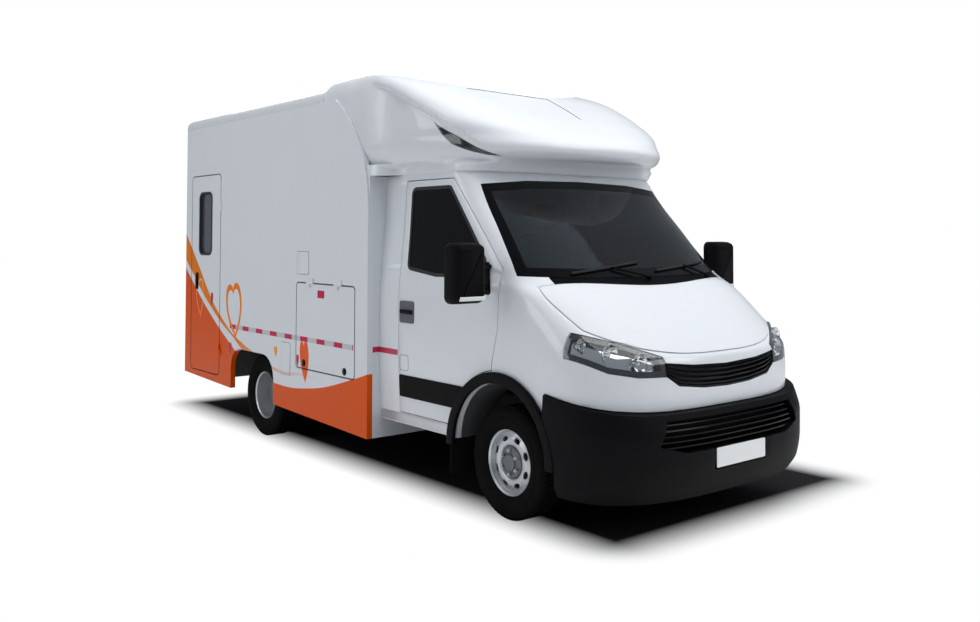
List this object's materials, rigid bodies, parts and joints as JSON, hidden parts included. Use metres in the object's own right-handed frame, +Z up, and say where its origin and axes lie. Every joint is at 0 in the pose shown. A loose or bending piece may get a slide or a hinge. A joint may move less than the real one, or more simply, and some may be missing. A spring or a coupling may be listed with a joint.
{
  "type": "bloodmobile",
  "caption": "Coachbuilt blood-donation vehicle with a streamlined white body on a light van cab and ladder chassis.",
  "frame": {"origin": "on the ground under the middle of the vehicle's length and width", "axes": "+Z up, -Y towards the front of the vehicle, +X towards the vehicle's left side"},
  "size_m": [2.724, 5.99, 3.015],
  "materials": {
    "white_paint": "gloss white paint",
    "black_plastic": "grained black moulding",
    "grey_plastic": "grained",
    "dark_glass": "tinted",
    "clear_glass": "polished",
    "lamp_clear": "clear lens",
    "tyre_rubber": "matt rubber",
    "wheel_silver": "silver paint",
    "chassis_black": "black chassis paint",
    "cast_metal": "rough cast",
    "grey_cloth": "woven"
  },
  "bodies": {
    "vehicle": {"chassis_frame": "chassis_black", "cab_body": "white_paint", "front_bumper": "black_plastic", "grille": "black_plastic", "headlamp_left": "lamp_clear", "headlamp_right": "lamp_clear", "windshield": "clear_glass", "wiper_cowl": "black_plastic", "arch_trim_left": "black_plastic", "arch_trim_right": "black_plastic", "dashboard": "grey_plastic", "steering_wheel": "black_plastic", "driver_chair": "grey_cloth", "passenger_chair": "grey_cloth", "body_floor": "grey_plastic", "front_wall": "white_paint", "side_wall_left": "white_paint", "side_wall_right": "white_paint", "rear_wall": "white_paint", "rear_window": "dark_glass", "roof_panel": "white_paint", "overcab_fairing": "white_paint", "rear_bumper": "black_plastic", "front_suspension": "chassis_black", "rear_axle": "cast_metal", "engine_block": "cast_metal", "propeller_shaft": "chassis_black", "exhaust": "cast_metal", "fuel_tank": "black_plastic"},
    "knuckle_left": {"knuckle_left": "cast_metal"},
    "knuckle_right": {"knuckle_right": "cast_metal"},
    "wheel_front_left": {"rim_front_left": "wheel_silver", "tyre_front_left": "tyre_rubber"},
    "wheel_front_right": {"rim_front_right": "wheel_silver", "tyre_front_right": "tyre_rubber"},
    "wheel_rear_left": {"rims_rear_left": "wheel_silver", "tyre_rear_left_inner": "tyre_rubber", "tyre_rear_left_outer": "tyre_rubber"},
    "wheel_rear_right": {"rims_rear_right": "wheel_silver", "tyre_rear_right_inner": "tyre_rubber", "tyre_rear_right_outer": "tyre_rubber"},
    "cab_door_left": {"cab_door_left": "white_paint", "door_glass_left": "dark_glass", "mirror_left": "black_plastic"},
    "cab_door_right": {"cab_door_right": "white_paint", "door_glass_right": "dark_glass", "mirror_right": "black_plastic"},
    "entry_door": {"entry_door": "white_paint", "entry_window": "dark_glass"},
    "locker_hatch": {"locker_hatch": "white_paint"},
    "hood": {"hood": "white_paint"}
  },
  "joints": [
    {"name": "steer_right", "type": "hinge", "parent": "vehicle", "child": "knuckle_right", "pos_m": [-0.775, -1.915, 0.352], "axis": [0, 0, 1], "range_deg": [-35, 35]},
    {"name": "roll_front_right", "type": "hinge", "parent": "knuckle_right", "child": "wheel_front_right", "pos_m": [-0.85, -1.915, 0.352], "axis": [1, 0, 0], "continuous": true},
    {"name": "roll_rear_right", "type": "hinge", "parent": "vehicle", "child": "wheel_rear_right", "pos_m": [-0.7825, 1.396, 0.352], "axis": [1, 0, 0], "continuous": true},
    {"name": "cab_door_right_hinge", "type": "hinge", "parent": "vehicle", "child": "cab_door_right", "pos_m": [-1, -1.912, 0.8], "axis": [0, 0, 1], "range_deg": [0, 68]},
    {"name": "steer_left", "type": "hinge", "parent": "vehicle", "child": "knuckle_left", "pos_m": [0.775, -1.915, 0.352], "axis": [0, 0, 1], "range_deg": [-35, 35]},
    {"name": "roll_front_left", "type": "hinge", "parent": "knuckle_left", "child": "wheel_front_left", "pos_m": [0.85, -1.915, 0.352], "axis": [1, 0, 0], "continuous": true},
    {"name": "roll_rear_left", "type": "hinge", "parent": "vehicle", "child": "wheel_rear_left", "pos_m": [0.7825, 1.396, 0.352], "axis": [1, 0, 0], "continuous": true},
    {"name": "cab_door_left_hinge", "type": "hinge", "parent": "vehicle", "child": "cab_door_left", "pos_m": [1, -1.912, 0.8], "axis": [0, 0, -1], "range_deg": [0, 68]},
    {"name": "entry_door_hinge", "type": "hinge", "parent": "vehicle", "child": "entry_door", "pos_m": [-1.112, 2.082, 0.46], "axis": [0, 0, 1], "range_deg": [0, 100]},
    {"name": "locker_hatch_hinge", "type": "hinge", "parent": "vehicle", "child": "locker_hatch", "pos_m": [-1.112, -0.355, 1.388], "axis": [0, 1, 0], "range_deg": [0, 95]},
    {"name": "hood_hinge", "type": "hinge", "parent": "vehicle", "child": "hood", "pos_m": [0, -2.115, 1.5], "axis": [-1, 0, 0], "range_deg": [0, 55]}
  ],
  "couplings": [
    {"joint": "steer_left", "follows": "steer_right", "ratio": 1}
  ]
}
